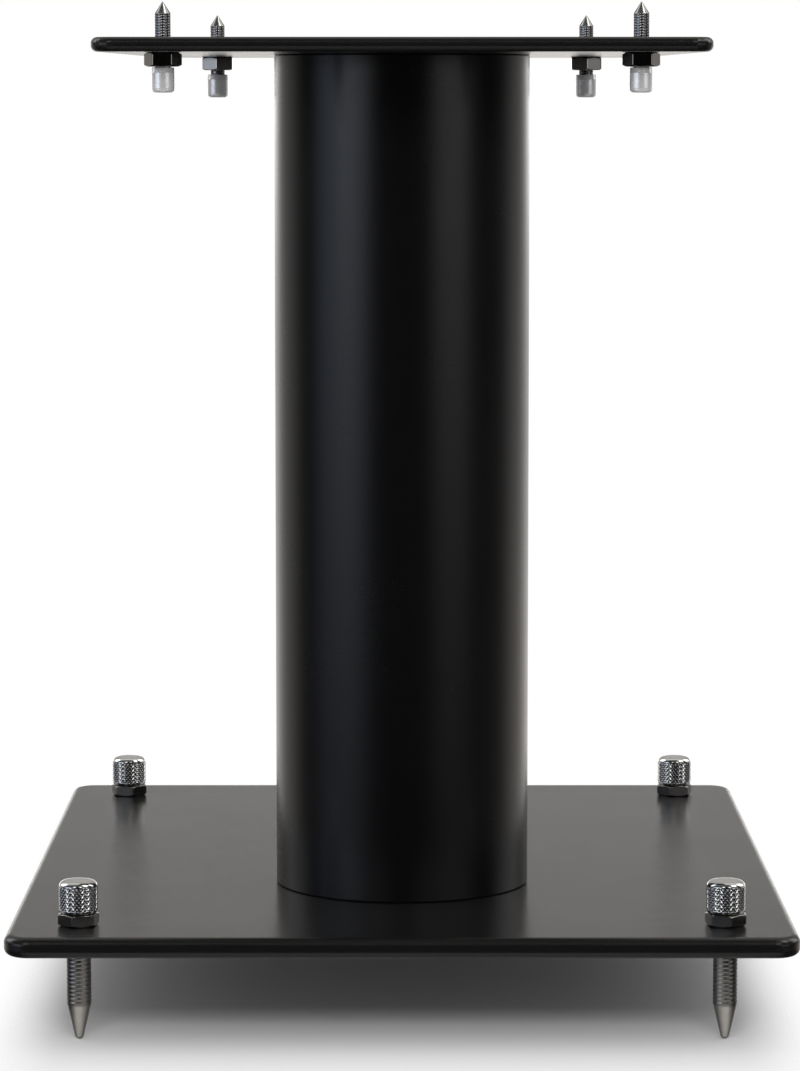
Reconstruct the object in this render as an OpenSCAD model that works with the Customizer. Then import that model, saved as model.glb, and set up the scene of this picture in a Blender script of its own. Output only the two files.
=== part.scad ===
// Loudspeaker stand: a round steel column bolted between a base plate and a smaller top plate.
// Four threaded spikes under the base plate stand on the floor. Four smaller ones point up out
// of the top plate and carry the speaker. Each spike is screwed through its plate, held there by
// a lock nut and turned by a knurled knob on its blunt end.
// Millimetres. Z is up and the front faces -Y, with left at -X. The origin lies on the floor,
// under the centre of the base plate.

/* [Base plate] */
// Width of the base plate, from left to right
base_w = 302; // [250:1:400]
// Depth of the base plate, from front to back
base_d = 348; // [300:1:450]
// Thickness of the base plate
base_t = 8; // [6:0.5:14]
// Corner radius of the base plate, seen from above
base_corner_r = 10; // [5:0.5:20]
// Radius rolled on the upper and lower edges of the base plate
base_edge_r = 3; // [0.5:0.25:3.5]

/* [Column] */
// Outside diameter of the column tube
column_od = 101.6; // [80:0.1:125]
// Wall of the column tube
column_wall = 3; // [2:0.5:6]
// Length of the column tube, between the two plates
column_len = 332; // [200:1:700]
// Distance of the column's axis in front of the middle of the base plate
column_forward = 55; // [0:1:70]
// Bevel that breaks the outer edge at each end of the tube
column_bevel = 0.5; // [0.2:0.1:1.5]
// Thickness of the steel disc that is welded into each end of the tube
disc_t = 10; // [8:0.5:16]

/* [Top plate] */
// Width of the top plate along its front edge
top_front_w = 232; // [200:1:320]
// Width of the top plate along its rear edge
top_rear_w = 206; // [180:1:320]
// Depth of the top plate, from front to back
top_d = 218; // [190:1:300]
// Thickness of the top plate
top_t = 5.5; // [4.5:0.5:10]
// Corner radius of the top plate, seen from above
top_corner_r = 8; // [5:0.5:20]
// Radius rolled on the upper and lower edges of the top plate
top_edge_r = 2.5; // [0.5:0.25:2.5]

/* [Floor spikes] */
// Height of the base plate's underside above the floor
floor_gap = 36.5; // [30:0.5:60]
// Distance of each floor spike's axis from the two nearest edges of the base plate
floor_inset = 27; // [20:0.5:45]
// Outside diameter of the thread on the floor spikes
floor_thread_d = 9.5; // [8:0.1:11]
// Length of the pointed end of a floor spike
floor_cone_len = 14.3; // [8:0.1:20]
// Radius of the blunt nose of a floor spike
floor_nose_r = 1.75; // [0.5:0.05:2.5]
// Distance across the flats of a floor lock nut
floor_nut_w = 14.3; // [13:0.1:19]
// Height of a floor lock nut
floor_nut_h = 4.8; // [4.5:0.1:8]
// Diameter of a floor spike's knob
floor_knob_d = 15; // [13.5:0.1:22]
// Height of a floor spike's knob
floor_knob_h = 12.3; // [9:0.1:20]
// Radius of the rounded shoulder of a floor spike's knob
floor_shoulder_r = 2.5; // [1:0.1:3.5]
// Thickness of metal over the blind hole in a floor spike's knob
floor_crown_t = 3; // [2:0.1:4]

/* [Speaker spikes] */
// Height of the front speaker spikes above the top plate
speaker_reach = 13.4; // [8:0.1:20]
// Distance by which the rear speaker spikes are screwed further down than the front ones
rear_drop = 1.6; // [0:0.1:4]
// Distance of each speaker spike's axis from the front or rear edge of the top plate
speaker_inset_y = 24; // [18:0.5:40]
// Distance of each speaker spike's axis from the side of the top plate, at the plate's end
speaker_inset_x = 26; // [18:0.5:40]
// Outside diameter of the thread on the speaker spikes
speaker_thread_d = 6; // [5:0.1:7]
// Length of the pointed end of a speaker spike
speaker_cone_len = 4.4; // [3:0.1:7]
// Radius of the nose of a speaker spike
speaker_nose_r = 0.4; // [0.2:0.05:1]
// Distance across the flats of a speaker lock nut
speaker_nut_w = 12.5; // [11:0.1:15]
// Height of a speaker lock nut
speaker_nut_h = 5.4; // [4.5:0.1:8]
// Diameter of a speaker spike's knob
speaker_knob_d = 8.8; // [8.6:0.1:14]
// Height of a speaker spike's knob
speaker_knob_h = 9.5; // [7:0.1:16]
// Radius of the rounded shoulder of a speaker spike's knob
speaker_shoulder_r = 1.5; // [0.5:0.1:2]
// Thickness of metal under the blind hole in a speaker spike's knob
speaker_crown_t = 2; // [1.5:0.1:3]

/* [Bolts] */
// Distance of the bolts' axes inside the bore of the column tube
bolt_inset = 16; // [13:0.5:20]
// Number of bolts that hold each plate to the column
bolt_count = 4; // [3:1:6]
// Thread diameter of the base plate's bolts
base_bolt_d = 8; // [6:0.5:10]
// Head diameter of the base plate's bolts
base_bolt_head_d = 16; // [14:0.5:18]
// Thread diameter of the top plate's bolts
top_bolt_d = 6; // [5:0.5:8]
// Head diameter of the top plate's bolts
top_bolt_head_d = 12; // [10:0.5:13]

/* [Hidden] */
$fn = 96;

// Finishes
satin_black = "#1b1b1d";
plain_steel = "#8d8a84";
chrome = "#d6d7d9";
spike_steel = "#a09b92";
black_oxide = "#2b2b2e";

// Radial clearance between a thread and what it screws into
thread_fit = 0.05;
// Clearance at the end of a blind hole, and under a knob that stands on its nut
end_gap = 0.2;
// Bevel turned on the ends of the spikes and on the mouths of the knobs
small_bevel = 0.5;
// Overrun of every cut
cut = 1;
// Facets round a form that is blended from its corners
hull_fn = 32;
// Size of a hex socket, as a share of the bolt's head
socket_w_share = 0.5;
// Depth of a hex socket, as a share of its width
socket_deep_share = 0.45;
// Radius of the flat ring on the end of a nut, as a share of half its width
nut_ring_share = 0.95;
// Slope of the bevel on the ends of a nut
nut_bevel_angle = 30;
// Turns of the floor nuts on the right, as they were tightened; those on the left mirror them
front_nut_turn = -18;
rear_nut_turn = 15;
// Turn of the rear speaker nuts
rear_speaker_nut_turn = 30;

// The side and the end of the stand, as multipliers
LEFT = -1;
RIGHT = 1;
FRONT = -1;
REAR = 1;

// Heights of the plates' faces
base_top_z = floor_gap + base_t;
top_under_z = base_top_z + column_len;
top_z = top_under_z + top_t;
// Bore of the column, and the radius at which its bolts stand
column_id = column_od - 2 * column_wall;
bolt_ring_r = column_id / 2 - bolt_inset;
// Heights of the knobs and of the spikes' blunt ends
floor_knob_z = base_top_z + floor_nut_h + end_gap;
floor_hole_h = floor_knob_h - floor_crown_t;
floor_spike_len = floor_knob_z + floor_hole_h - end_gap;
speaker_knob_top_z = top_under_z - speaker_nut_h - end_gap;
speaker_hole_h = speaker_knob_h - speaker_crown_t;
speaker_spike_len = top_z + speaker_reach - speaker_knob_top_z + speaker_hole_h - end_gap;
// Half the spacing of the speaker spikes across the stand, at the front and at the rear
speaker_front_x = top_front_w / 2 - speaker_inset_x;
speaker_rear_x = top_rear_w / 2 - speaker_inset_x;

// Where a floor spike stands, and where a speaker spike does
function floor_spot(side, end) = [
  side * (base_w / 2 - floor_inset),
  end * (base_d / 2 - floor_inset)
];
function speaker_spot(side, end) = [
  side * (end == FRONT ? speaker_front_x : speaker_rear_x),
  end * (top_d / 2 - speaker_inset_y) - column_forward
];
// How far a speaker spike is screwed down from the front ones' height
function speaker_drop(end) = end == REAR ? rear_drop : 0;

// The four corner circles of a plate, anticlockwise from the front left
function plate_corners(front_w, rear_w, depth, r) = [
  [-front_w / 2 + r, -depth / 2 + r],
  [front_w / 2 - r, -depth / 2 + r],
  [rear_w / 2 - r, depth / 2 - r],
  [-rear_w / 2 + r, depth / 2 - r]
];
// Direction of the outward normal of the edge that runs from corner a to corner b
function edge_normal(a, b) = atan2(a[0] - b[0], b[1] - a[1]);

// Section of a plate's rolled edge, from a corner circle's centre outwards
module edge_section(corner_r, edge_r, t) {
  // a thin plate keeps a narrow flat band between its two rolled edges
  r = min(edge_r, 0.46 * t);
  square([corner_r - r, t]);
  translate([0, r]) square([corner_r, t - 2 * r]);
  for (z = [r, t - r]) translate([corner_r - r, z]) circle(r = r);
}

// Rectangular plate with round corners and rolled edges, standing on Z = 0
module square_plate(corners, corner_r, edge_r, t) {
  last = len(corners) - 1;
  linear_extrude(height = t) polygon(corners);
  for (i = [0 : last]) {
    here = corners[i];
    after = corners[i == last ? 0 : i + 1];
    // the straight edge from this corner to the next, then the round corner
    translate(after) rotate([90, 0, edge_normal(here, after)])
      linear_extrude(height = norm(after - here)) edge_section(corner_r, edge_r, t);
    translate(here) rotate_extrude() edge_section(corner_r, edge_r, t);
  }
}

// The same with sides that slant, as one smooth form round its four corners
module tapered_plate(corners, corner_r, edge_r, t) {
  hull() for (here = corners) translate(here)
    rotate_extrude($fn = hull_fn) edge_section(corner_r, edge_r, t, $fn = hull_fn);
}

// The bolts' places round the column's axis
module round_the_column() {
  for (i = [0 : bolt_count - 1])
    translate([0, -column_forward]) rotate([0, 0, (i + 0.5) * 360 / bolt_count])
      translate([bolt_ring_r, 0]) children();
}

// Countersunk shape: the head's face on Z = 0, the shank rising from it
module countersunk_shape(shank_d, head_d, length) {
  cylinder(h = (head_d - shank_d) / 2, d1 = head_d, d2 = shank_d);
  cylinder(h = length, d = shank_d);
}

// Clearance hole for a countersunk bolt, cut past both faces
module countersunk_hole(shank_d, head_d, length) {
  countersunk_shape(shank_d + 2 * thread_fit, head_d + 2 * thread_fit, length + cut);
  translate([0, 0, -cut]) cylinder(h = cut, d = head_d + 2 * thread_fit);
}

// Countersunk bolt with a hex socket in its head
module countersunk_bolt(shank_d, head_d, length) {
  socket_w = head_d * socket_w_share;
  socket_deep = socket_w * socket_deep_share;
  difference() {
    countersunk_shape(shank_d, head_d, length);
    translate([0, 0, -cut])
      cylinder(h = socket_deep + cut, d = socket_w / cos(30), $fn = 6);
  }
}

// Hexagon nut with both ends bevelled, standing on Z = 0
module hex_nut(width, height, bore_d) {
  corner_r = width / 2 / cos(30);
  ring_r = nut_ring_share * width / 2;
  rim_r = corner_r + small_bevel;
  bevel_h = (rim_r - ring_r) * tan(nut_bevel_angle);
  difference() {
    intersection() {
      cylinder(h = height, r = corner_r, $fn = 6);
      rotate_extrude() polygon([
        [0, 0], [ring_r, 0], [rim_r, bevel_h],
        [rim_r, height - bevel_h], [ring_r, height], [0, height]
      ]);
    }
    translate([0, 0, -cut]) cylinder(h = height + 2 * cut, d = bore_d);
  }
}

// Round knob with its open end on Z = 0 and a rounded shoulder on top
module round_knob(d, h, shoulder_r, hole_d, hole_h) {
  r = d / 2;
  difference() {
    rotate_extrude() {
      polygon([
        [0, 0], [r - small_bevel, 0], [r, small_bevel],
        [r, h - shoulder_r], [r - shoulder_r, h - shoulder_r], [r - shoulder_r, h], [0, h]
      ]);
      translate([r - shoulder_r, h - shoulder_r]) circle(r = shoulder_r);
    }
    translate([0, 0, -cut]) cylinder(h = hole_h + cut, d = hole_d);
  }
}

// Threaded spike with its nose on Z = 0 and its blunt end up. The cone runs tangent to the nose.
module pointed_stud(d, length, cone_len, nose_r) {
  r = d / 2;
  rise = cone_len - nose_r;
  touch = atan2(rise, r) - acos(nose_r / norm([r, rise]));
  touch_z = nose_r + nose_r * sin(touch);
  rotate_extrude() {
    polygon([
      [0, touch_z], [nose_r * cos(touch), touch_z], [r, cone_len],
      [r, length - small_bevel], [r - small_bevel, length], [0, length]
    ]);
    intersection() {
      translate([0, nose_r]) circle(r = nose_r);
      square([nose_r, touch_z]);
    }
  }
}

// Base plate, threaded for the floor spikes and countersunk from below for its bolts
module base_plate() {
  color(satin_black) difference() {
    translate([0, 0, floor_gap])
      square_plate(
        plate_corners(base_w, base_w, base_d, base_corner_r), base_corner_r, base_edge_r, base_t
      );
    for (side = [LEFT, RIGHT], end = [FRONT, REAR])
      translate(concat(floor_spot(side, end), floor_gap - cut))
        cylinder(h = base_t + 2 * cut, d = floor_thread_d + 2 * thread_fit);
    translate([0, 0, floor_gap]) round_the_column()
      countersunk_hole(base_bolt_d, base_bolt_head_d, base_t);
  }
}

// Column tube, standing on the base plate
module column_tube() {
  inner_r = column_id / 2;
  outer_r = column_od / 2;
  color(satin_black) translate([0, -column_forward, base_top_z])
    rotate_extrude() polygon([
      [inner_r, 0], [outer_r - column_bevel, 0], [outer_r, column_bevel],
      [outer_r, column_len - column_bevel], [outer_r - column_bevel, column_len],
      [inner_r, column_len]
    ]);
}

// Steel disc in one end of the tube, threaded for the plate's bolts
module column_disc(z, bolt_d) {
  color(plain_steel) difference() {
    translate([0, -column_forward, z])
      cylinder(h = disc_t, d = column_id - 2 * thread_fit);
    translate([0, 0, z - cut]) round_the_column()
      cylinder(h = disc_t + 2 * cut, d = bolt_d + 2 * thread_fit);
  }
}

// Top plate, threaded for the speaker spikes and countersunk from above for its bolts
module top_plate() {
  color(satin_black) difference() {
    translate([0, -column_forward, top_under_z])
      tapered_plate(
        plate_corners(top_front_w, top_rear_w, top_d, top_corner_r), top_corner_r, top_edge_r, top_t
      );
    for (side = [LEFT, RIGHT], end = [FRONT, REAR])
      translate(concat(speaker_spot(side, end), top_under_z - cut))
        cylinder(h = top_t + 2 * cut, d = speaker_thread_d + 2 * thread_fit);
    translate([0, 0, top_z]) round_the_column() mirror([0, 0, 1])
      countersunk_hole(top_bolt_d, top_bolt_head_d, top_t);
  }
}

// Bolts up through the base plate into the lower disc
module base_bolts() {
  color(black_oxide) translate([0, 0, floor_gap]) round_the_column()
    countersunk_bolt(base_bolt_d, base_bolt_head_d, base_t + disc_t);
}

// Bolts down through the top plate into the upper disc
module top_bolts() {
  color(black_oxide) translate([0, 0, top_z]) round_the_column() mirror([0, 0, 1])
    countersunk_bolt(top_bolt_d, top_bolt_head_d, top_t + disc_t);
}

// Spike that stands on the floor, screwed through a corner of the base plate
module floor_spike(side, end) {
  color(spike_steel) translate(floor_spot(side, end))
    pointed_stud(floor_thread_d, floor_spike_len, floor_cone_len, floor_nose_r);
}

// Lock nut on top of the base plate
module floor_nut(side, end) {
  turn = side * (end == FRONT ? front_nut_turn : rear_nut_turn);
  color(chrome) translate(concat(floor_spot(side, end), base_top_z)) rotate([0, 0, turn])
    hex_nut(floor_nut_w, floor_nut_h, floor_thread_d + 2 * thread_fit);
}

// Knob on the upper end of a floor spike
module floor_knob(side, end) {
  color(chrome) translate(concat(floor_spot(side, end), floor_knob_z))
    round_knob(
      floor_knob_d, floor_knob_h, floor_shoulder_r, floor_thread_d + 2 * thread_fit, floor_hole_h
    );
}

// Spike that points up under the speaker, screwed through a corner of the top plate
module speaker_spike(side, end) {
  color(spike_steel)
    translate(concat(speaker_spot(side, end), top_z + speaker_reach - speaker_drop(end)))
    mirror([0, 0, 1])
    pointed_stud(speaker_thread_d, speaker_spike_len, speaker_cone_len, speaker_nose_r);
}

// Lock nut under the top plate
module speaker_nut(side, end) {
  turn = end == REAR ? rear_speaker_nut_turn : 0;
  color(chrome) translate(concat(speaker_spot(side, end), top_under_z - speaker_nut_h))
    rotate([0, 0, turn])
    hex_nut(speaker_nut_w, speaker_nut_h, speaker_thread_d + 2 * thread_fit);
}

// Knob on the lower end of a speaker spike
module speaker_knob(side, end) {
  color(chrome)
    translate(concat(speaker_spot(side, end), speaker_knob_top_z - speaker_drop(end)))
    mirror([0, 0, 1])
    round_knob(
      speaker_knob_d, speaker_knob_h, speaker_shoulder_r,
      speaker_thread_d + 2 * thread_fit, speaker_hole_h
    );
}

base_plate();
column_tube();
column_disc(base_top_z, base_bolt_d);  // column_lower_disc
column_disc(top_under_z - disc_t, top_bolt_d);  // column_upper_disc
top_plate();
base_bolts();
top_bolts();
floor_spike(LEFT, FRONT);  // floor_spike_front_left
floor_spike(RIGHT, FRONT);  // floor_spike_front_right
floor_spike(LEFT, REAR);  // floor_spike_rear_left
floor_spike(RIGHT, REAR);  // floor_spike_rear_right
floor_nut(LEFT, FRONT);  // floor_nut_front_left
floor_nut(RIGHT, FRONT);  // floor_nut_front_right
floor_nut(LEFT, REAR);  // floor_nut_rear_left
floor_nut(RIGHT, REAR);  // floor_nut_rear_right
floor_knob(LEFT, FRONT);  // floor_knob_front_left
floor_knob(RIGHT, FRONT);  // floor_knob_front_right
floor_knob(LEFT, REAR);  // floor_knob_rear_left
floor_knob(RIGHT, REAR);  // floor_knob_rear_right
speaker_spike(LEFT, FRONT);  // speaker_spike_front_left
speaker_spike(RIGHT, FRONT);  // speaker_spike_front_right
speaker_spike(LEFT, REAR);  // speaker_spike_rear_left
speaker_spike(RIGHT, REAR);  // speaker_spike_rear_right
speaker_nut(LEFT, FRONT);  // speaker_nut_front_left
speaker_nut(RIGHT, FRONT);  // speaker_nut_front_right
speaker_nut(LEFT, REAR);  // speaker_nut_rear_left
speaker_nut(RIGHT, REAR);  // speaker_nut_rear_right
speaker_knob(LEFT, FRONT);  // speaker_knob_front_left
speaker_knob(RIGHT, FRONT);  // speaker_knob_front_right
speaker_knob(LEFT, REAR);  // speaker_knob_rear_left
speaker_knob(RIGHT, REAR);  // speaker_knob_rear_right
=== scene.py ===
# %% [markdown]
# # A low loudspeaker stand
#
# The object is a steel stand for a loudspeaker. A thick base plate and a thinner top plate are
# held apart by one wide round column, all in satin black powder coat. Four threaded spikes under
# the base level it on the floor, and four smaller ones point up out of the top plate to carry the
# loudspeaker. Each spike has a lock nut and a bright knurled knob.
#
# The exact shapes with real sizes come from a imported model, one object for each part. This lesson
# adds what a maker would see close up: cut threads, the diamond knurl, softened edges on the nuts,
# and the finishes. It starts by loading those parts and keeping the size of the whole.

import math

import bmesh
import bpy
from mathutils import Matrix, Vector


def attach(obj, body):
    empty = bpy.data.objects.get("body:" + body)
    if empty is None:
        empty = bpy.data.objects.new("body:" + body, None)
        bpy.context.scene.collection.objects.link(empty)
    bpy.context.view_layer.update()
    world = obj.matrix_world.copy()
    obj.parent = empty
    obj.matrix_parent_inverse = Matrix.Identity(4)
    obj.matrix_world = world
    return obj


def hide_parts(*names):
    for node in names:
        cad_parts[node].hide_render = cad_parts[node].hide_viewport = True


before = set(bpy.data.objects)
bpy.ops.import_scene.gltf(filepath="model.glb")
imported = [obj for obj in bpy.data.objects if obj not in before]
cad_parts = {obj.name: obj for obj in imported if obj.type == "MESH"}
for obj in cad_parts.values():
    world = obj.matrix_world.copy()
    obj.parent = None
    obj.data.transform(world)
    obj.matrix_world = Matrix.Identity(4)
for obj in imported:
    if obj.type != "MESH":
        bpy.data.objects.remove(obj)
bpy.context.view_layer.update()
print("parts loaded:", len(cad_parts))

# %% [markdown]
# ## Where things stand
#
# Every length is in metres. Z points up, the floor is Z = 0, the front of the stand faces -Y, and
# the stand's left, seen from the front, is -X. The two plates are rectangles seen from above, and
# the spikes stand a little way in from their corners, so a spike's place is a side and an end.
#
# The upper plate is a little narrower at the back than in front, so its rear spikes stand closer
# together. Writing the places once, as two small functions, keeps the four copies of each piece
# identical.

# %% Places and heights of the parts
LEFT, RIGHT, FRONT, REAR = -1, 1, -1, 1
SIDE_NAMES = {LEFT: "left", RIGHT: "right"}
END_NAMES = {FRONT: "front", REAR: "rear"}
CORNERS = [(side, end) for end in (FRONT, REAR) for side in (LEFT, RIGHT)]

MM = 0.001
BASE_TOP_Z = 44.5 * MM
TOP_UNDER_Z = 376.5 * MM

# Half the distances between the spikes, and how far the column stands in front of the middle
FLOOR_HALF_ACROSS, FLOOR_HALF_DEEP = 124, 147
SPEAKER_HALF_ACROSS, SPEAKER_HALF_DEEP = {FRONT: 90, REAR: 77}, 85
COLUMN_FORWARD = 55


def floor_spot(side, end):
    return side * FLOOR_HALF_ACROSS * MM, end * FLOOR_HALF_DEEP * MM


def speaker_spot(side, end):
    y = (end * SPEAKER_HALF_DEEP - COLUMN_FORWARD) * MM
    return side * SPEAKER_HALF_ACROSS[end] * MM, y


def corner_name(side, end):
    return f"{END_NAMES[end]}_{SIDE_NAMES[side]}"


print("floor spikes:", [corner_name(side, end) for side, end in CORNERS])

# %% [markdown]
# ## The camera
#
# The stand is seen from straight in front, from just below the height of its upper plate, with a
# long lens. From there the underside of the upper plate shows as a thin strip while the top of the
# base plate is seen at a low angle. The camera looks down by about six degrees, so there is no
# need to shift the lens.
#
# The lens length follows from the field of view: the number of pixels that one unit of tangent
# covers, times the sensor's width, divided by the long side of the picture in pixels.

# %% Set up the camera
PICTURE_LONG_SIDE = 1071
PIXELS_PER_TANGENT = 4049
SENSOR_MM = 36.0
CAMERA_PLACE = (-0.0008, -1.674, 0.3582)
LOOKS_DOWN_DEGREES = 6.1208

camera_data = bpy.data.cameras.new("camera")
camera_data.sensor_width = SENSOR_MM
camera_data.lens = PIXELS_PER_TANGENT * SENSOR_MM / PICTURE_LONG_SIDE
camera = bpy.data.objects.new("camera", camera_data)
camera.location = CAMERA_PLACE
camera.rotation_euler = (math.radians(90 - LOOKS_DOWN_DEGREES), 0, 0)
bpy.context.scene.collection.objects.link(camera)
bpy.context.scene.camera = camera
print("lens:", round(camera_data.lens, 1), "mm")

# %% [markdown]
# ## Small helpers for node trees
#
# A shader is a graph of nodes. Three helpers keep the code that builds them readable: one adds a
# node and sets its plain values, one joins two sockets, and one makes a node group with named
# inputs and outputs. A group is built once and used in several materials, each with its own
# values, in the same way as a function in code.

# %% Helpers for nodes and groups
def add_node(tree, kind, **values):
    node = tree.nodes.new(kind)
    for name, value in values.items():
        if name in node.inputs:
            node.inputs[name].default_value = value
        else:
            setattr(node, name, value)
    return node


def math_node(tree, operation, first, second=None, third=None):
    node = tree.nodes.new("ShaderNodeMath")
    node.operation = operation
    for socket, value in zip(node.inputs, (first, second, third)):
        if value is None:
            continue
        if isinstance(value, (int, float)):
            socket.default_value = value
        else:
            tree.links.new(value, socket)
    return node.outputs[0]


def remap(tree, value, from_low, from_high, to_low, to_high, smooth=False):
    node = tree.nodes.new("ShaderNodeMapRange")
    node.interpolation_type = "SMOOTHSTEP" if smooth else "LINEAR"
    for name, number in (("From Min", from_low), ("From Max", from_high),
                         ("To Min", to_low), ("To Max", to_high)):
        if isinstance(number, (int, float)):
            node.inputs[name].default_value = number
        else:
            tree.links.new(number, node.inputs[name])
    tree.links.new(value, node.inputs["Value"])
    return node.outputs["Result"]


def mix_colors(tree, factor, first, second):
    node = tree.nodes.new("ShaderNodeMix")
    node.data_type = "RGBA"
    for socket, value in ((node.inputs["Factor"], factor), (node.inputs[6], first),
                          (node.inputs[7], second)):
        if isinstance(value, bpy.types.NodeSocket):
            tree.links.new(value, socket)
        else:
            socket.default_value = value
    return node.outputs[2]


def new_group(name, inputs, outputs):
    """A shader node group; inputs are (name, kind, default), outputs are (name, kind)."""
    group = bpy.data.node_groups.new(name, "ShaderNodeTree")
    for label, kind, default in inputs:
        socket = group.interface.new_socket(label, in_out="INPUT", socket_type=kind)
        socket.default_value = default
    for label, kind in outputs:
        group.interface.new_socket(label, in_out="OUTPUT", socket_type=kind)
    return group, group.nodes.new("NodeGroupInput"), group.nodes.new("NodeGroupOutput")


FLOAT = "NodeSocketFloat"
print("node helpers ready")

# %% [markdown]
# ## Effect: powder coat grain
#
# Powder coat is sprayed on as dry grains and melted in an oven. The film that is left has a fine
# orange-peel surface and tiny specks where single grains stood up, and its sheen drifts a little
# from place to place.
#
# It could be painted as an image, but a procedural group has no seams and keeps its real size on
# every part. Two layers of noise in object space make the height: a wide soft one for the orange
# peel and a fine one for the specks.

# %% Group: powder coat grain
grain_group, g_in, g_out = new_group(
    "powder coat grain",
    [("Peel size mm", FLOAT, 1.2), ("Speck size mm", FLOAT, 0.35), ("Speck share", FLOAT, 0.4)],
    [("Height", FLOAT), ("Specks", FLOAT), ("Drift", FLOAT)],
)
place = grain_group.nodes.new("ShaderNodeTexCoord").outputs["Object"]


def grain_noise(size_socket, detail):
    scale = math_node(grain_group, "DIVIDE", 1000.0, size_socket)
    noise = add_node(grain_group, "ShaderNodeTexNoise", Detail=detail, Roughness=0.55)
    grain_group.links.new(place, noise.inputs["Vector"])
    grain_group.links.new(scale, noise.inputs["Scale"])
    return noise.outputs["Fac"]


peel = grain_noise(g_in.outputs["Peel size mm"], 1.0)
speck_noise = grain_noise(g_in.outputs["Speck size mm"], 0.0)
specks = remap(grain_group, speck_noise, 0.56, 0.74, 0.0, 1.0, smooth=True)
drift_noise = add_node(grain_group, "ShaderNodeTexNoise", Scale=28.0, Detail=3.0, Roughness=0.6)
grain_group.links.new(place, drift_noise.inputs["Vector"])
drift = remap(grain_group, drift_noise.outputs["Fac"], 0.3, 0.7, 0.0, 1.0, smooth=True)
raised = math_node(grain_group, "MULTIPLY", specks, g_in.outputs["Speck share"])
grain_group.links.new(math_node(grain_group, "ADD", peel, raised), g_out.inputs["Height"])
grain_group.links.new(specks, g_out.inputs["Specks"])
grain_group.links.new(drift, g_out.inputs["Drift"])
print("group made:", grain_group.name)

# %% [markdown]
# ## Effect: rubbed edges
#
# Hands and cloths touch the edges of a part first. There the coat is polished a little and looks
# lighter. The Geometry node's Pointiness says how much a surface bulges outwards at a point, so a
# narrow band of its values finds the edges, and a noise breaks the band up so that it doesn't
# look drawn.

# %% Group: rubbed edges
rub_group, r_in, r_out = new_group(
    "rubbed edges",
    [("Start", FLOAT, 0.52), ("End", FLOAT, 0.6), ("Patchiness", FLOAT, 0.5)],
    [("Mask", FLOAT)],
)
point = rub_group.nodes.new("ShaderNodeNewGeometry").outputs["Pointiness"]
band = remap(rub_group, point, r_in.outputs["Start"], r_in.outputs["End"], 0.0, 1.0, smooth=True)
rub_noise = add_node(rub_group, "ShaderNodeTexNoise", Scale=160.0, Detail=4.0, Roughness=0.65)
rub_place = rub_group.nodes.new("ShaderNodeTexCoord").outputs["Object"]
rub_group.links.new(rub_place, rub_noise.inputs["Vector"])
patches = remap(rub_group, rub_noise.outputs["Fac"], 0.35, 0.65, 0.0, 1.0)
missing = math_node(rub_group, "MULTIPLY", r_in.outputs["Patchiness"],
                    math_node(rub_group, "SUBTRACT", 1.0, patches))
kept = math_node(rub_group, "MULTIPLY", band, math_node(rub_group, "SUBTRACT", 1.0, missing))
rub_group.links.new(kept, r_out.inputs["Mask"])
print("group made:", rub_group.name)

# %% [markdown]
# ## Effect: turning marks
#
# A part turned on a lathe keeps fine rings where the tool passed. Stretching a noise along X and
# Y, so that it changes almost only with Z, draws such rings round any upright part, and no axis
# has to be known. The rings vary the height, the brightness and the roughness together.

# %% Group: turning marks
turn_group, t_in, t_out = new_group(
    "turning marks",
    [("Rings per mm", FLOAT, 5.0), ("Smudge size mm", FLOAT, 6.0)],
    [("Rings", FLOAT), ("Smudges", FLOAT)],
)
turn_place = turn_group.nodes.new("ShaderNodeTexCoord").outputs["Object"]
stretch = add_node(turn_group, "ShaderNodeVectorMath", operation="MULTIPLY")
stretch.inputs[1].default_value = (0.02, 0.02, 1.0)
turn_group.links.new(turn_place, stretch.inputs[0])
ring_noise = add_node(turn_group, "ShaderNodeTexNoise", Detail=2.0, Roughness=0.7)
turn_group.links.new(stretch.outputs[0], ring_noise.inputs["Vector"])
turn_group.links.new(math_node(turn_group, "MULTIPLY", t_in.outputs["Rings per mm"], 1000.0),
                     ring_noise.inputs["Scale"])
smudge_noise = add_node(turn_group, "ShaderNodeTexNoise", Detail=3.0, Roughness=0.6)
turn_group.links.new(turn_place, smudge_noise.inputs["Vector"])
turn_group.links.new(math_node(turn_group, "DIVIDE", 1000.0, t_in.outputs["Smudge size mm"]),
                     smudge_noise.inputs["Scale"])
turn_group.links.new(ring_noise.outputs["Fac"], t_out.inputs["Rings"])
turn_group.links.new(remap(turn_group, smudge_noise.outputs["Fac"], 0.3, 0.7, 0.0, 1.0),
                     t_out.inputs["Smudges"])
print("group made:", turn_group.name)

# %% [markdown]
# ## Finish: satin black powder coat
#
# The plates and the column share one kind of finish with different gloss. The coat is nearly
# black, so what the eye sees is almost only its sheen: roughness sets how soft the reflections
# are, and the grain sets how they break up. The colour, the roughness and the bump each take
# their variation from the two groups above.

# %% Material: powder coat
def group_node(tree, group, **values):
    node = tree.nodes.new("ShaderNodeGroup")
    node.node_tree = group
    for name, value in values.items():
        node.inputs[name.replace("_", " ")].default_value = value
    return node


def new_material(name):
    material = bpy.data.materials.new(name)
    material.use_nodes = True
    return material, material.node_tree, material.node_tree.nodes["Principled BSDF"]


COAT_WORN_LIGHTER, COAT_WORN_DUST = 1.6, 0.004
SHEEN_DRIFT = 0.01
RUBBED_SMOOTHER = 0.06
COAT_BUMP_HEIGHT = 0.00008


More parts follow.
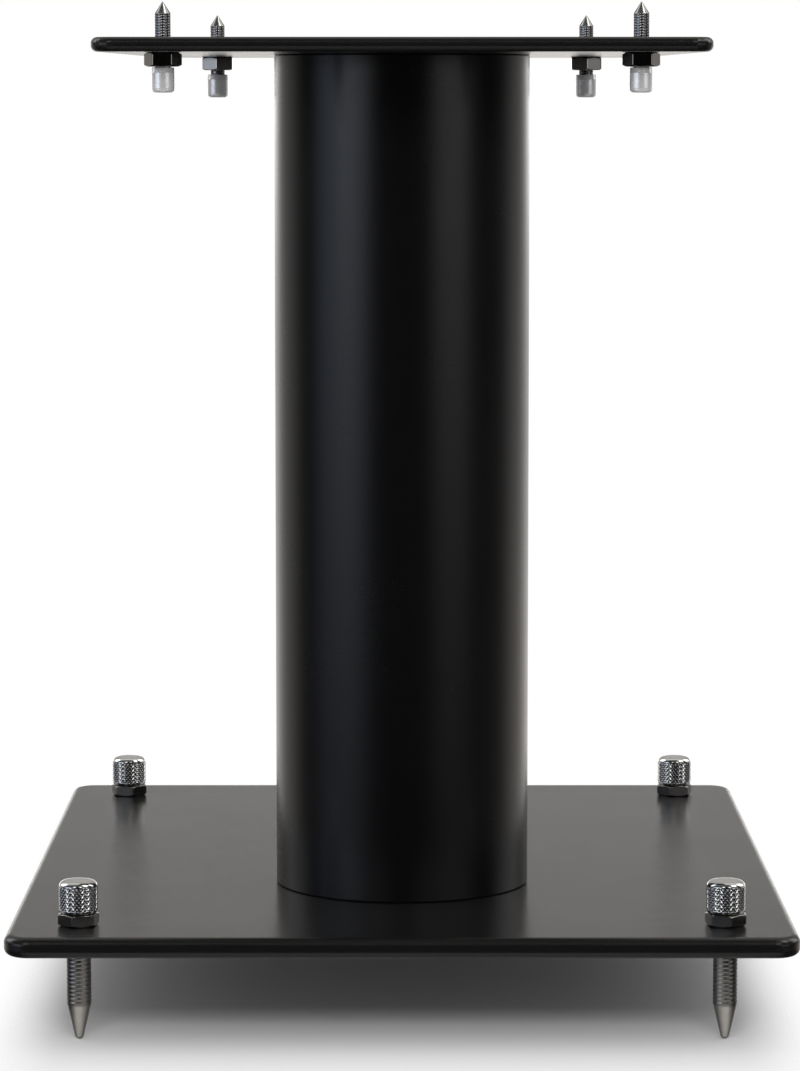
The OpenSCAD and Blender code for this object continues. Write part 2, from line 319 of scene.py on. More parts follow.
def powder_coat(name, color, speck_color, roughness, peel_mm, speck_mm, bump):
    material, tree, shader = new_material(name)
    grain = group_node(tree, grain_group, Peel_size_mm=peel_mm, Speck_size_mm=speck_mm)
    rub = group_node(tree, rub_group, Start=0.53, End=0.66, Patchiness=0.6)
    speckled = mix_colors(tree, grain.outputs["Specks"], (*color, 1), (*speck_color, 1))
    worn = tuple(value * COAT_WORN_LIGHTER + COAT_WORN_DUST for value in color)
    tree.links.new(mix_colors(tree, rub.outputs["Mask"], speckled, (*worn, 1)),
                   shader.inputs["Base Color"])
    sheen = remap(tree, grain.outputs["Drift"], 0.0, 1.0, roughness - SHEEN_DRIFT,
                  roughness + SHEEN_DRIFT)
    rubbed = math_node(tree, "MULTIPLY", rub.outputs["Mask"], RUBBED_SMOOTHER)
    tree.links.new(math_node(tree, "SUBTRACT", sheen, rubbed), shader.inputs["Roughness"])
    bump_node = add_node(tree, "ShaderNodeBump", Strength=bump, Distance=COAT_BUMP_HEIGHT)
    tree.links.new(grain.outputs["Height"], bump_node.inputs["Height"])
    tree.links.new(bump_node.outputs["Normal"], shader.inputs["Normal"])
    return material


plate_coat = powder_coat("plate_black", (0.0042, 0.0041, 0.004), (0.012, 0.0115, 0.011),
                         roughness=0.26, peel_mm=0.7, speck_mm=0.4, bump=0.05)
column_coat = powder_coat("column_black", (0.0014, 0.0014, 0.0017), (0.004, 0.004, 0.0045),
                          roughness=0.27, peel_mm=1.1, speck_mm=0.5, bump=0.2)
print("coats:", plate_coat.name, column_coat.name)

# %% [markdown]
# ## Finish: bare, plated and blackened steel
#
# The floor spikes are turned steel with a warm grey tone and the speaker spikes a cooler grey.
# The knobs and nuts are plated, the bolts are blackened, and the discs inside the column are
# plain turned steel. A metal has no colour of its own under its reflections: base colour tints
# the reflections. Metallic is the same all over a piece, so it is set on the shader itself. It is
# 1 for bare and plated steel and 0 for the black oxide on the bolts. The small speaker knobs
# should stay pale in a dark room, and a Metallic of about a half gives them that.
#
# The spikes get two things more, and both are shortcuts. Above the cone the floor spikes are
# darker and rougher. And both kinds of spike darken towards their sides, more than their
# shallow grooves could make them. That is painted shade, dark reflections of the shadow under the
# base plate painted into the colour: Layer Weight's Facing is 0 where a surface faces the eye and
# rises towards 1 at its outline, so the painted shade follows the view.

# %% Materials: steels and plating
RUBBED_BRIGHTER = 1.15
# How the floor spikes turn darker and rougher above the cone
DULL_FADE = 0.4 * MM
DULL_TONE = 0.52
DULL_ROUGHER = 0.14
# The painted shade towards the spikes' sides: where it starts and ends, its share and its tone
FLANK_START, FLANK_END = 0.1, 0.48
FLANK_SHARE = 0.85
PAINTED_SHADE_TONE = 0.15
SMUDGE_SHARE = 0.6
# Shares of the finish's roughness: its lowest value, and what rings and smudges add to it
SMOOTHEST, RING_SPREAD, SMUDGE_SPREAD = 0.65, 0.5, 0.25
STEEL_BUMP_HEIGHT = 0.00005


def toned_down(color, share):
    return (*(value * share for value in color), 1)


def turned_metal(name, color, dark, roughness, rings_mm, bump, metallic=1.0, dull_above=None,
                 painted_shade_flanks=False):
    material, tree, shader = new_material(name)
    marks = group_node(tree, turn_group, Rings_per_mm=rings_mm)
    rub = group_node(tree, rub_group, Start=0.51, End=0.6, Patchiness=0.4)
    toned = mix_colors(tree, remap(tree, marks.outputs["Smudges"], 0.0, 1.0, 0.0, SMUDGE_SHARE),
                       (*color, 1), (*dark, 1))
    bright = tuple(min(1.0, value * RUBBED_BRIGHTER) for value in color)
    shown = mix_colors(tree, rub.outputs["Mask"], toned, (*bright, 1))
    spread = math_node(tree, "MULTIPLY_ADD", marks.outputs["Rings"], roughness * RING_SPREAD,
                       roughness * SMOOTHEST)
    dulled = math_node(tree, "MULTIPLY_ADD", marks.outputs["Smudges"],
                       roughness * SMUDGE_SPREAD, spread)
    if dull_above is not None:
        # the colour is darker and the roughness higher above the given height
        height = tree.nodes.new("ShaderNodeSeparateXYZ")
        tree.links.new(tree.nodes.new("ShaderNodeTexCoord").outputs["Object"], height.inputs[0])
        darker_above = remap(tree, height.outputs["Z"], dull_above - DULL_FADE, dull_above + DULL_FADE,
                      0.0, 1.0, smooth=True)
        shown = mix_colors(tree, darker_above, shown, toned_down(color, DULL_TONE))
        dulled = math_node(tree, "MULTIPLY_ADD", darker_above, DULL_ROUGHER, dulled)
    if painted_shade_flanks:
        # painted shade: the colour darkens towards the outline, standing in for dark reflections of
        # the shadow under the base
        facing = add_node(tree, "ShaderNodeLayerWeight", Blend=0.5).outputs["Facing"]
        flank = remap(tree, facing, FLANK_START, FLANK_END, 0.0, FLANK_SHARE, smooth=True)
        shown = mix_colors(tree, flank, shown, toned_down(color, PAINTED_SHADE_TONE))
    tree.links.new(shown, shader.inputs["Base Color"])
    tree.links.new(dulled, shader.inputs["Roughness"])
    shader.inputs["Metallic"].default_value = metallic
    bump_node = add_node(tree, "ShaderNodeBump", Strength=bump, Distance=STEEL_BUMP_HEIGHT)
    tree.links.new(marks.outputs["Rings"], bump_node.inputs["Height"])
    tree.links.new(bump_node.outputs["Normal"], shader.inputs["Normal"])
    return material


spike_steel = turned_metal(
    "spike_steel", (0.66, 0.63, 0.58), (0.52, 0.49, 0.45),
    roughness=0.2, rings_mm=4.0, bump=0.2, dull_above=13.4 * MM, painted_shade_flanks=True)
bright_steel = turned_metal(
    "spike_bright", (0.55, 0.55, 0.56), (0.42, 0.42, 0.43),
    roughness=0.22, rings_mm=4.0, bump=0.15, painted_shade_flanks=True)
knob_chrome = turned_metal(
    "knob_chrome", (0.74, 0.74, 0.74), (0.64, 0.64, 0.64),
    roughness=0.12, rings_mm=1.5, bump=0.04)
satin_chrome = turned_metal(
    "knob_satin", (0.95, 0.95, 0.96), (0.88, 0.88, 0.89),
    roughness=0.24, rings_mm=1.5, bump=0.04, metallic=0.56)
nut_chrome = turned_metal(
    "nut_chrome", (0.3, 0.29, 0.275), (0.24, 0.23, 0.22),
    roughness=0.14, rings_mm=1.5, bump=0.06)
raw_steel = turned_metal(
    "raw_steel", (0.5, 0.49, 0.47), (0.4, 0.39, 0.37),
    roughness=0.36, rings_mm=3.0, bump=0.4)
bolt_black = turned_metal(
    "bolt_black", (0.03, 0.03, 0.032), (0.02, 0.02, 0.021),
    roughness=0.42, rings_mm=2.0, bump=0.15, metallic=0.0)
print("metals:", [m.name for m in (spike_steel, bright_steel, knob_chrome, satin_chrome,
                                    nut_chrome, raw_steel, bolt_black)])

# %% [markdown]
# ### Which part wears which finish
#
# The plates, the column, its discs and the bolts are shown as they were packed, so they only need
# a material. The spikes, nuts and knobs are built again below with finer shapes.

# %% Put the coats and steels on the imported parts
FINISHES = {
    "base_plate": plate_coat, "top_plate": plate_coat, "column_tube": column_coat,
    "column_lower_disc": raw_steel, "column_upper_disc": raw_steel,
    "base_bolts": bolt_black, "top_bolts": bolt_black,
}
for part, material in FINISHES.items():
    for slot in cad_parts[part].material_slots:
        slot.material = material
print("packed parts with a finish:", len(FINISHES))

# %% [markdown]
# ## Piece: the threaded spikes
#
# A spike is a turned rod with a thread cut along it and a long cone at one end. A thread is a
# groove that climbs one pitch in one turn. Blender's Screw modifier could wind such a profile, but
# its ends stay open and ragged, and the thread could not run out into the cone.
#
# Here the rod is a grid that climbs as it goes round: each row is one point of the thread's
# profile, and after one turn it meets the row one pitch higher. Every point is then drawn in to
# the turned outline of the cone and of the blunt end, which is just what the lathe does to a
# threaded rod, so the thread runs out into the cone as it does in steel.
#
# The grooves are much shallower than a real thread's, which keeps the outline nearly straight.

# %% Helpers: points on a circle, rings of faces, and an object made of them
def on_circle(r, angle, z):
    return r * math.cos(angle), r * math.sin(angle), z


def ring_faces(first_ring, ring_count, around):
    faces = []
    for ring in range(ring_count - 1):
        low = first_ring + ring * around
        for step in range(around):
            after = (step + 1) % around
            faces.append((low + step, low + after, low + around + after, low + around + step))
    return faces


def place_piece(name, points, faces, spot, node, material, smooth_angle):
    mesh = bpy.data.meshes.new(name)
    mesh.from_pydata([tuple(point) for point in points], [], faces)
    body = bmesh.new()
    body.from_mesh(mesh)
    bmesh.ops.remove_doubles(body, verts=body.verts, dist=1e-7)
    bmesh.ops.dissolve_degenerate(body, edges=body.edges, dist=1e-8)
    bmesh.ops.recalc_face_normals(body, faces=body.faces)
    body.to_mesh(mesh)
    body.free()
    mesh.shade_smooth()
    mesh.set_sharp_from_angle(angle=math.radians(smooth_angle))
    mesh.materials.append(material)
    piece = bpy.data.objects.new(name, mesh)
    piece.location = (*spot, 0.0)
    bpy.context.scene.collection.objects.link(piece)
    bpy.context.view_layer.update()
    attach(piece, node)
    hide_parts(node)
    return piece


print("mesh helpers ready")

# %% [markdown]
# ### Winding the thread
#
# Six points describe one turn of the groove, and the outline of the finished spike is a function
# of the height. Both kinds of spike come from the same code, each with its own sizes.

# %% Build the spikes
AROUND = 40
NOSE_STEPS, CONE_STEPS = 6, 8
END_BEVEL = 1.1 * MM
# The thread's grid starts where the cone is nearly as wide as the thread's root
NEARLY_ROOT = 0.98
SEARCH_STEP = 0.1 * MM
# Share of a pitch and share of the depth: a rounded crest, a flank, a rounded root, a flank
THREAD_PROFILE = ((0.0, 0.0), (0.16, 0.0), (0.32, 0.22), (0.5, 0.9), (0.66, 0.9), (0.84, 0.22))

FLOOR_SPIKE = {"radius": 4.75 * MM, "depth": 0.16 * MM, "pitch": 1.5875 * MM,
               "cone": 14.3 * MM, "nose": 1.75 * MM, "length": 58.6 * MM}
SPEAKER_SPIKE = {"radius": 3.0 * MM, "depth": 0.1 * MM, "pitch": 1.0 * MM,
                 "cone": 4.4 * MM, "nose": 0.4 * MM, "length": 31.8 * MM}
SPEAKER_TIP_Z = {FRONT: 395.4 * MM, REAR: 393.8 * MM}


def spike_outline(radius, cone, nose, length):
    """The turned outline: a round nose, a cone and a straight stud with a bevelled blunt end."""
    rise = cone - nose
    touch = math.atan2(rise, radius) - math.acos(nose / math.hypot(radius, rise))
    touch_z = nose + nose * math.sin(touch)
    touch_r = nose * math.cos(touch)

    def outline(z):
        if z < touch_z:
            return math.sqrt(max(0.0, nose ** 2 - (z - nose) ** 2))
        if z < cone:
            return touch_r + (radius - touch_r) * (z - touch_z) / (cone - touch_z)
        return min(radius, radius - END_BEVEL + (length - z))

    return outline, touch_z


def threaded_spike(radius, depth, pitch, cone, nose, length):
    outline, touch_z = spike_outline(radius, cone, nose, length)
    start = touch_z
    while outline(start) < (radius - depth) * NEARLY_ROOT:
        start += SEARCH_STEP
    turns = math.ceil((length - start) / pitch)
    per_turn = len(THREAD_PROFILE)
    rows = (turns + 2) * per_turn + 1
    points, faces = [], []
    for row in range(rows):
        share, cut = THREAD_PROFILE[row % per_turn]
        for step in range(AROUND):
            z = start + pitch * (row // per_turn - 1 + share + step / AROUND)
            z = min(max(z, start), length)
            r = min(radius - depth * cut, outline(z))
            points.append(on_circle(r, 2 * math.pi * step / AROUND, z))
    # the last face of each row closes on the row one pitch higher
    for row in range(rows - 1):
        for step in range(AROUND):
            low = row * AROUND + step
            if step < AROUND - 1:
                faces.append((low, low + 1, low + AROUND + 1, low + AROUND))
            elif row + per_turn + 1 < rows:
                low_after = (row + per_turn) * AROUND
                faces.append((low, low_after, low_after + AROUND, low + AROUND))
    return points, faces, outline, touch_z, start


def build_spike(name, spot, tip_z, up, finish, radius, depth, pitch, cone, nose, length):
    points, faces, outline, touch_z, start = threaded_spike(radius, depth, pitch, cone, nose,
                                                            length)
    heights = [touch_z * (1 - math.cos(math.pi / 2 * step / NOSE_STEPS))
               for step in range(NOSE_STEPS + 1)]
    heights += [touch_z + (start - touch_z) * step / CONE_STEPS
                for step in range(1, CONE_STEPS + 1)]
    first = len(points)
    points.extend(on_circle(outline(z), 2 * math.pi * step / AROUND, z)
                  for z in heights for step in range(AROUND))
    faces.extend(ring_faces(first, len(heights), AROUND))
    end = len(points)
    points.extend(on_circle(outline(length), 2 * math.pi * step / AROUND, length)
                  for step in range(AROUND))
    faces.append(tuple(range(end, end + AROUND)))
    # a spike that points up is turned over, not mirrored, so its thread stays right-handed
    if up:
        points = [(x, -y, tip_z - z) for x, y, z in points]
    else:
        points = [(x, y, tip_z + z) for x, y, z in points]
    return place_piece(name, points, faces, spot, name.removesuffix("_cut"),
                       finish, smooth_angle=60)


for side, end in CORNERS:
    tag = corner_name(side, end)
    build_spike(f"floor_spike_{tag}_cut", floor_spot(side, end), 0.0, False, spike_steel,
                **FLOOR_SPIKE)
    build_spike(f"speaker_spike_{tag}_cut", speaker_spot(side, end), SPEAKER_TIP_Z[end], True,
                bright_steel, **SPEAKER_SPIKE)
print("spikes built:", 2 * len(CORNERS))

# %% [markdown]
# ## Piece: the lock nuts
#
# A hexagon nut is milled bar with both ends turned to a bevel of thirty degrees. Where that cone
# cuts the six flats it leaves the arcs that make a nut look like a nut.
#
# A cylinder with six sides and a Bevel modifier has no such arcs. Here each upright column of
# points is worked out by itself: the hexagon gives the radius, and the height at which the cone
# reaches that radius gives the bevel. The hexagon's corners are rounded with a power mean of its
# six flats, because plated bar never has knife edges.

# %% Build the nuts
CORNER_SHARPNESS = 70
# Degrees from each corner at which a column of points stands, closest together at the corner
NUT_OFFSETS = (-30, -24, -18, -12, -8, -5, -3.5, -2.2, -1.1,
               0, 1.1, 2.2, 3.5, 5, 8, 12, 18, 24)
BEVEL_DEGREES = 30
BEVEL_RING = 0.95
BEVEL_SOFT = 0.12 * MM
BORE_LEAD = 0.35 * MM

FLOOR_NUT = {"width": 14.3 * MM, "height": 4.8 * MM, "bore": 4.8 * MM}
SPEAKER_NUT = {"width": 12.5 * MM, "height": 5.4 * MM, "bore": 3.05 * MM}
FLOOR_NUT_TURN = {FRONT: -18, REAR: 15}
SPEAKER_NUT_TURN = {FRONT: 0, REAR: 30}


def hexagon_radius(flat, angle):
    total = sum(max(0.0, math.cos(angle - math.radians(60 * side + 30))) ** CORNER_SHARPNESS
                for side in range(6))
    return flat / total ** (1 / CORNER_SHARPNESS)


def nut_profile(r, ring, height, bore):
    """Radius and height of the points in one upright column, from the lower bore to the upper."""
    slope = math.tan(math.radians(BEVEL_DEGREES))
    soft, lead = BEVEL_SOFT, BORE_LEAD
    bevel = (r - ring) * slope
    return [(bore, lead), (bore + lead, 0.0), (ring - soft, 0.0),
            (ring + soft * 0.4, soft * 0.3), (r - soft, bevel - soft * slope),
            (r, bevel + soft * 0.5), (r, height - bevel - soft * 0.5),
            (r - soft, height - bevel + soft * slope), (ring + soft * 0.4, height - soft * 0.3),
            (ring - soft, height), (bore + lead, height), (bore, height - lead)]


def build_nut(name, spot, low_z, turned, width, height, bore):
    angles = [math.radians(60 * corner + offset)
              for corner in range(6) for offset in NUT_OFFSETS]
    flat = width / 2
    ring = flat * BEVEL_RING
    columns = [nut_profile(hexagon_radius(flat, angle), ring, height, bore) for angle in angles]
    around, rows = len(angles), len(columns[0])
    points = []
    for row in range(rows):
        for angle, profile in zip(angles, columns):
            r, z = profile[row]
            points.append(on_circle(r, angle + math.radians(turned), low_z + z))
    faces = ring_faces(0, rows, around)
    last = (rows - 1) * around
    for step in range(around):
        after = (step + 1) % around
        faces.append((last + step, last + after, after, step))
    return place_piece(name, points, faces, spot, name.removesuffix("_milled"),
                       nut_chrome, smooth_angle=40)


for side, end in CORNERS:
    tag = corner_name(side, end)
    build_nut(f"floor_nut_{tag}_milled", floor_spot(side, end), BASE_TOP_Z,
              side * FLOOR_NUT_TURN[end], **FLOOR_NUT)
    build_nut(f"speaker_nut_{tag}_milled", speaker_spot(side, end),
              TOP_UNDER_Z - SPEAKER_NUT["height"], SPEAKER_NUT_TURN[end], **SPEAKER_NUT)
print("nuts built:", 2 * len(CORNERS))

# %% [markdown]
# ## Piece: the knurled knobs
#
# A knurl is rolled into the metal by two wheels with slanting teeth, one leaning left and one
# leaning right. The two sets of grooves cross and leave rows of small diamonds.
#
# A bump map would show the diamonds from in front but leave the knob's outline smooth, and the
# bright stripes on a knurl come from real slopes. So the diamonds are in the mesh: on a grid round
# the knob, each of the two grooves is a saw-tooth wave of the angle and the height, the surface
# takes the lower of the two, and the tips are cut flat as on a turned bar. Faces are split along
# the grooves, which keeps them straight. The small knobs have the same knurl, but so shallow that
# it only breaks up their sheen.

# %% Build the knobs
STEPS_PER_DIAMOND = 8
TIP_SHARE = 0.72
KNURL_FADE_ROWS = 2
KNURL_END_DROP = 0.1 * MM
CLEAR_OF_KNURL = 0.1 * MM
HOLE_LEAD = 0.3 * MM
BAND_INSET = 0.15 * MM
# How far in and how high the points of the rounded lower edge are
MOUTH_EDGE = ((0.6 * MM, 0.0), (0.28 * MM, 0.12 * MM), (BAND_INSET, 0.4 * MM))
SHOULDER_STEPS = 9
TOP_RINGS = (0.6, 0.2)

FLOOR_KNOB = {"radius": 7.5 * MM, "height": 12.3 * MM, "shoulder": 2.5 * MM,
              "hole_r": 4.8 * MM, "hole_h": 9.3 * MM,
              "diamonds": 28, "diamond_h": 1.87 * MM, "half_rows": 10,
              "knurl_start": 0.95 * MM, "knurl_depth": 0.28 * MM}
SPEAKER_KNOB = {"radius": 4.4 * MM, "height": 9.5 * MM, "shoulder": 1.5 * MM,
                "hole_r": 3.05 * MM, "hole_h": 7.5 * MM,
                "diamonds": 30, "diamond_h": 0.92 * MM, "half_rows": 14,
                "knurl_start": 1.75 * MM, "knurl_depth": 0.02 * MM}
FLOOR_MOUTH_Z = 49.5 * MM
SPEAKER_MOUTH_Z = {FRONT: 370.9 * MM, REAR: 369.3 * MM}


def saw(value):
    share = value - math.floor(value)
    return 2 * min(share, 1 - share)


def build_knob(name, spot, mouth_z, up, finish, radius, height, shoulder, hole_r, hole_h,
               diamonds, diamond_h, half_rows, knurl_start, knurl_depth):
    around = diamonds * STEPS_PER_DIAMOND
    step_h = diamond_h / STEPS_PER_DIAMOND
    knurl_rows = half_rows * STEPS_PER_DIAMOND // 2
    knurl_end = knurl_start + knurl_rows * step_h
    below = [(hole_r, hole_h), (hole_r, HOLE_LEAD), (hole_r + HOLE_LEAD, 0.0)]
    below += [(radius - inset, z) for inset, z in MOUTH_EDGE]
    below.append((radius - BAND_INSET, knurl_start - BAND_INSET))
    above = []
    for step in range(SHOULDER_STEPS + 1):
        angle = math.pi / 2 * step / SHOULDER_STEPS
        z = height - shoulder + shoulder * math.sin(angle)
        if z > knurl_end + CLEAR_OF_KNURL:
            above.append((radius - shoulder + shoulder * math.cos(angle), z))
    above += [((radius - shoulder) * share, height) for share in TOP_RINGS]

    def skin(z):
        over = z - (height - shoulder)
        if over <= 0:
            return radius
        return radius - shoulder + math.sqrt(max(0.0, shoulder ** 2 - over ** 2))

    points = []

    def add_ring(r, z):
        points.extend(on_circle(r, 2 * math.pi * step / around, z) for step in range(around))

    for r, z in below:
        add_ring(r, z)
    for row in range(knurl_rows + 1):
        z = knurl_start + row * step_h
        fade = min(1.0, row / KNURL_FADE_ROWS, (knurl_rows - row) / KNURL_FADE_ROWS)
        for step in range(around):
            u = (step + row) / STEPS_PER_DIAMOND
            v = (step - row) / STEPS_PER_DIAMOND
            tip = min(TIP_SHARE, saw(u), saw(v)) / TIP_SHARE
            drop = knurl_depth * (1 - tip) * fade + KNURL_END_DROP * (1 - fade)
            points.append(on_circle(skin(z) - drop, 2 * math.pi * step / around, z))
    for r, z in above:
        add_ring(r, z)

    faces = []
    rings = len(points) // around
    for ring in range(rings - 1):
        row = ring - len(below)
        knurled = 0 <= row < knurl_rows
        for step in range(around):
            after = (step + 1) % around
            a, b = ring * around + step, ring * around + after
            c, d = b + around, a + around
            if knurled and (step - row) % STEPS_PER_DIAMOND == 0:
                faces.extend([(a, b, c), (a, c, d)])
            elif knurled and (step + row + 1) % STEPS_PER_DIAMOND == 0:
                faces.extend([(a, b, d), (b, c, d)])
            else:
                faces.append((a, b, c, d))
    last = (rings - 1) * around
    faces.append(tuple(range(last, last + around)))
    faces.append(tuple(reversed(range(around))))
    if up:
        points = [(x, y, mouth_z + z) for x, y, z in points]
    else:
        points = [(x, -y, mouth_z - z) for x, y, z in points]
    return place_piece(name, points, faces, spot, name.removesuffix("_knurled"),
                       finish, smooth_angle=28)


for side, end in CORNERS:
    tag = corner_name(side, end)
    build_knob(f"floor_knob_{tag}_knurled", floor_spot(side, end), FLOOR_MOUTH_Z, True,
               knob_chrome, **FLOOR_KNOB)
    build_knob(f"speaker_knob_{tag}_knurled", speaker_spot(side, end), SPEAKER_MOUTH_Z[end],
               False, satin_chrome, **SPEAKER_KNOB)
print("knobs built:", 2 * len(CORNERS))

# %% [markdown]
# ## The studio
#
# Black satin and plated metal show the room more than themselves, so the light is planned as what
# they should reflect. Pale walls stand beside and behind the stand, and the side of the camera is
# dark. Two wide soft boxes at the sides of the camera draw the two upright sheens on the column,
# and over it all hangs a grey ceiling.
#
# The small bright parts need small bright things as well: strips beside the camera and at the
# rear, two low boxes near the horizon, a warm key lamp high on the right, a bright line along the
# horizon behind the stand, and a few faint glows low down.
#
# Real lamps could do this, but the soft boxes would have to be very large and close. A picture of
# directions in the world does the same: each thing in the room is a soft-edged patch of azimuth
# and elevation. Rays that reflect see that picture, rays that only light a surface see an even
# white, and the camera sees the plain white of the background in every direction.

# %% Helpers for the picture of the room
IN_DEGREES = 180 / math.pi
world = bpy.data.worlds.new("white studio")
world.use_nodes = True
world.cycles.sampling_method = "NONE"
bpy.context.scene.world = world
room = world.node_tree
room.nodes.clear()
direction = room.nodes.new("ShaderNodeTexCoord").outputs["Generated"]
axes = room.nodes.new("ShaderNodeSeparateXYZ")
room.links.new(direction, axes.inputs[0])
towards_camera = math_node(room, "MULTIPLY", axes.outputs["Y"], -1.0)
azimuth = math_node(room, "MULTIPLY",
                    math_node(room, "ARCTAN2", axes.outputs["X"], towards_camera), IN_DEGREES)
elevation = math_node(room, "MULTIPLY", math_node(room, "ARCSINE", axes.outputs["Z"]),
                      IN_DEGREES)


def meet(first, second):
    """One where both masks are one."""
    return math_node(room, "MULTIPLY", first, second)


def ramp(angle, low, high, from_level=0.0, to_level=1.0):
    """A soft change from one level to another between two angles."""
    return remap(room, angle, low, high, from_level, to_level, smooth=True)


def patch(angle, low, high, soft):
    """One inside a span of angles, with soft ends, and zero outside it."""
    return meet(ramp(angle, low - soft, low + soft),
                ramp(angle, high - soft, high + soft, 1.0, 0.0))


def colored(mask, color, strength):
    scale = add_node(room, "ShaderNodeVectorMath", operation="SCALE")
    scale.inputs[0].default_value = color
    room.links.new(math_node(room, "MULTIPLY", mask, strength), scale.inputs["Scale"])
    return scale.outputs[0]


def lit_by(first, second):
    total = add_node(room, "ShaderNodeVectorMath", operation="ADD")
    room.links.new(first, total.inputs[0])
    room.links.new(second, total.inputs[1])
    return total.outputs[0]


print("room angles ready")

# %% [markdown]
# ### The things in the room
#
# Azimuth is 0 towards the camera and grows to the right, and elevation is 0 at the horizon, both
# in degrees. Things that stand on both sides use the azimuth without its sign. Each line gives
# where a thing is, its tint and its strength, and the room is the sum of them all.

# %% The room that reflections see
turned_away = math_node(room, "ABSOLUTE", azimuth)
WHITE = (1.0, 1.0, 1.0)
ROOM_PARTS = {
    "side walls": (
        meet(ramp(turned_away, 96, 124), ramp(elevation, -24, -14, 0.12, 1.0)),
        (1.0, 0.97, 0.93), 0.42),
    "backdrop": (
        meet(ramp(turned_away, 128, 158), patch(elevation, -30, 4, 4)),
        (1.0, 0.97, 0.94), 0.6),
    "left soft box": (
        meet(patch(azimuth, -80, -38, 12), patch(elevation, -6, 17, 6)),
        (0.72, 0.82, 1.0), 1.0),
    "right soft box": (
        meet(patch(azimuth, 34, 68, 11), patch(elevation, -4, 15, 6)),
        (0.98, 0.95, 1.0), 0.3),
    "low right glow": (
        meet(remap(room, azimuth, 60, 135, 0.0, 1.0), patch(elevation, -18, -6, 4)),
        (1.0, 0.92, 0.86), 0.3),
    "low left glow": (
        meet(remap(room, azimuth, -60, -120, 0.0, 1.0), patch(elevation, -18, -6, 4)),
        (1.0, 0.95, 0.9), 0.12),
    "ceiling": (
        meet(ramp(elevation, 36, 58), ramp(turned_away, 50, 90, 0.3, 1.0)),
        (1.0, 0.99, 0.97), 0.3),
    "key lamp": (
        meet(patch(azimuth, 50, 80, 5), patch(elevation, 42, 66, 5)),
        (1.0, 0.96, 0.82), 5.0),
    "front strips": (
        meet(patch(turned_away, 13, 27, 4), patch(elevation, 18, 44, 5)), WHITE, 2.0),
    "rear strips": (
        meet(patch(turned_away, 96, 130, 5), patch(elevation, 14, 50, 6)), WHITE, 2.6),
    "horizon line": (
        meet(ramp(turned_away, 140, 160), patch(elevation, -1, 3, 2)), WHITE, 2.0),
    "low front glow": (
        meet(patch(azimuth, -40, 40, 12), patch(elevation, -56, -30, 6)),
        (1.0, 0.98, 0.95), 0.5),
    "low boxes": (
        meet(patch(turned_away, 28, 60, 8), patch(elevation, -1.5, 5, 2)),
        (0.97, 0.98, 1.0), 1.2),
    "faint glow everywhere": (patch(azimuth, -200, 200, 1), WHITE, 0.006),
}

seen = None
for mask, tint, strength in ROOM_PARTS.values():
    light = colored(mask, tint, strength)
    seen = light if seen is None else lit_by(seen, light)
print("room parts:", ", ".join(ROOM_PARTS))

# %% [markdown]
# ### Three kinds of ray
#
# The Light Path node tells the world what kind of ray has reached it. Reflected rays get the
# picture of the room, rays that only light a surface get one even white, and the camera gets the
# plain white of the background.

# %% What each kind of ray sees
PLAIN_LEVEL = 0.8
light_path = room.nodes.new("ShaderNodeLightPath")
reflecting = math_node(room, "MAXIMUM", light_path.outputs["Is Glossy Ray"],
                       light_path.outputs["Is Transmission Ray"])
level = (PLAIN_LEVEL, PLAIN_LEVEL, PLAIN_LEVEL, 1)
color = mix_colors(room, reflecting, level, seen)
color = mix_colors(room, light_path.outputs["Is Camera Ray"], color, (1, 1, 1, 1))
background = room.nodes.new("ShaderNodeBackground")
room.links.new(color, background.inputs["Color"])
room_out = room.nodes.new("ShaderNodeOutputWorld")
room.links.new(background.outputs[0], room_out.inputs["Surface"])
print("world:", world.name)

# %% [markdown]
# ## The fill light
#
# One wide lamp hangs in front, low enough to reach in under the base plate and brighten the floor
# there from the front. It only fills: reflections don't see it, because its shape would cut
# across the plates' edges.

# %% Hang the fill light
FILL_WIDTH, FILL_HEIGHT = 2.0, 0.6
FILL_WATTS = 26
FILL_PLACE = (0.0, -2.6, 1.5)
FILL_TARGET = (0.0, 0.0, 0.0)

fill = bpy.data.lights.new("front_fill", "AREA")
fill.shape = "RECTANGLE"
fill.size = FILL_WIDTH
fill.size_y = FILL_HEIGHT
fill.energy = FILL_WATTS
fill_lamp = bpy.data.objects.new("front_fill", fill)
fill_lamp.location = FILL_PLACE
fill_aim = Vector(FILL_TARGET) - fill_lamp.location
fill_lamp.rotation_euler = fill_aim.to_track_quat("-Z", "Y").to_euler()
fill_lamp.visible_glossy = False
fill_lamp.visible_camera = False
bpy.context.scene.collection.objects.link(fill_lamp)
print("fill light:", fill.energy, "W")

# %% [markdown]
# ## The floor
#
# The floor is a plain pale sheet that catches the soft shadow under the base. The shadow should
# stay close to the stand and no horizon line should show, so the sheet dissolves into the white
# background: quickly beside and behind the base plate, and more gently in front of it. The
# distance from the plate's outline is worked out from the position alone. Seen from below the
# sheet is clear, so that it doesn't hide the underside of the stand.

# %% Build the floor
FLOOR_RADIUS = 0.9
FLOOR_SIDES = 96
PAPER_TONES = (0.84, 0.86)
BASE_HALF_WIDTH = 0.151
BASE_HALF_DEPTH = 0.174
# Where the sheet starts to fade and where it is gone, outwards from the base plate's outline
FADE_BESIDE = (-0.025, 0.014)
FADE_IN_FRONT = (-0.06, 0.11)
FADE_BEHIND = (-0.025, 0.03)

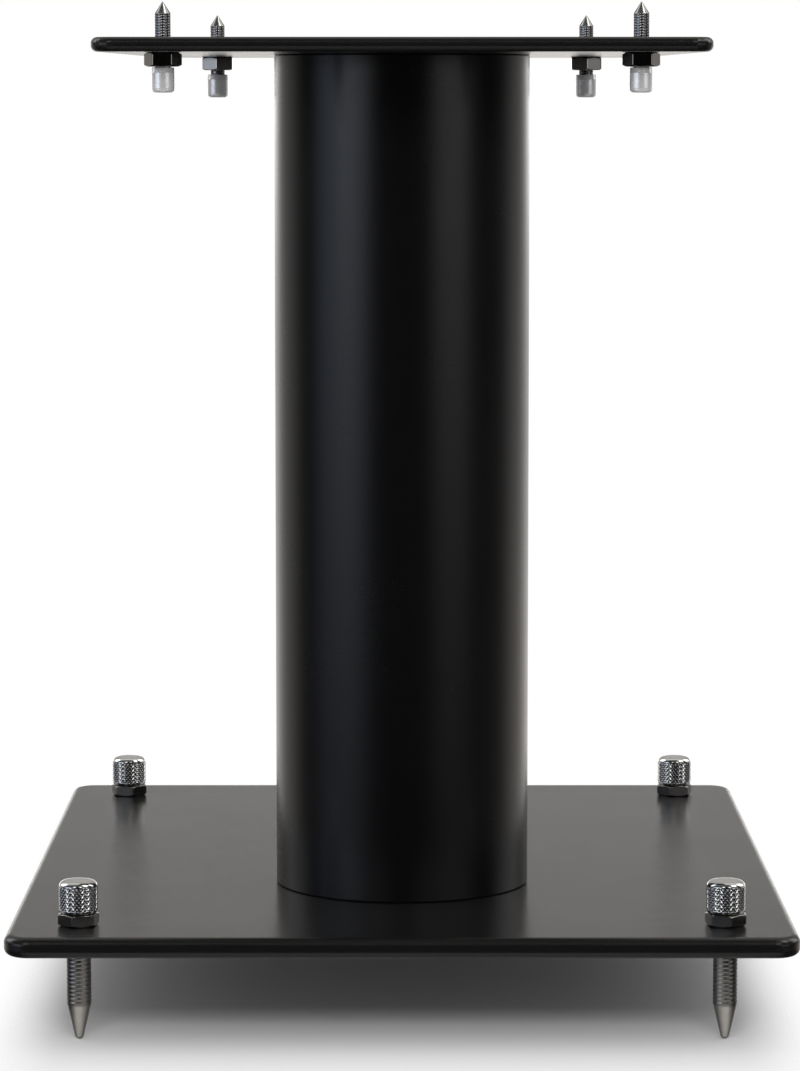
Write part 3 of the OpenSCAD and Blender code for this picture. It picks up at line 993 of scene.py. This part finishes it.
floor_mesh = bpy.data.meshes.new("floor")
sheet = bmesh.new()
bmesh.ops.create_circle(sheet, cap_ends=True, segments=FLOOR_SIDES, radius=FLOOR_RADIUS)
sheet.to_mesh(floor_mesh)
sheet.free()
floor = bpy.data.objects.new("floor", floor_mesh)
bpy.context.scene.collection.objects.link(floor)
floor_paper, paper_tree, paper = new_material("floor_paper")
paper_place = paper_tree.nodes.new("ShaderNodeTexCoord").outputs["Object"]
paper_noise = add_node(paper_tree, "ShaderNodeTexNoise", Scale=900.0, Detail=2.0)
paper_tree.links.new(paper_place, paper_noise.inputs["Vector"])
shade = remap(paper_tree, paper_noise.outputs["Fac"], 0.0, 1.0, *PAPER_TONES)
tint = add_node(paper_tree, "ShaderNodeCombineColor")
for channel in ("Red", "Green", "Blue"):
    paper_tree.links.new(shade, tint.inputs[channel])
paper_tree.links.new(tint.outputs[0], paper.inputs["Base Color"])
paper.inputs["Roughness"].default_value = 1.0
paper.inputs["Specular IOR Level"].default_value = 0.0

where = paper_tree.nodes.new("ShaderNodeSeparateXYZ")
paper_tree.links.new(paper_place, where.inputs[0])
beside = math_node(paper_tree, "SUBTRACT",
                   math_node(paper_tree, "ABSOLUTE", where.outputs["X"]), BASE_HALF_WIDTH)
in_front = math_node(paper_tree, "SUBTRACT",
                     math_node(paper_tree, "MULTIPLY", where.outputs["Y"], -1.0),
                     BASE_HALF_DEPTH)
past_rear = math_node(paper_tree, "SUBTRACT", where.outputs["Y"], BASE_HALF_DEPTH)
kept_share = math_node(
    paper_tree, "MULTIPLY",
    remap(paper_tree, beside, *FADE_BESIDE, 1.0, 0.0, smooth=True),
    math_node(paper_tree, "MULTIPLY",
              remap(paper_tree, in_front, *FADE_IN_FRONT, 1.0, 0.0, smooth=True),
              remap(paper_tree, past_rear, *FADE_BEHIND, 1.0, 0.0, smooth=True)))
from_below = paper_tree.nodes.new("ShaderNodeNewGeometry").outputs["Backfacing"]
shown_share = math_node(paper_tree, "MULTIPLY", kept_share,
                        math_node(paper_tree, "SUBTRACT", 1.0, from_below))
paper_tree.links.new(shown_share, paper.inputs["Alpha"])
floor_mesh.materials.append(floor_paper)
bpy.context.scene.view_settings.view_transform = "Standard"
print("floor radius:", FLOOR_RADIUS, "m")
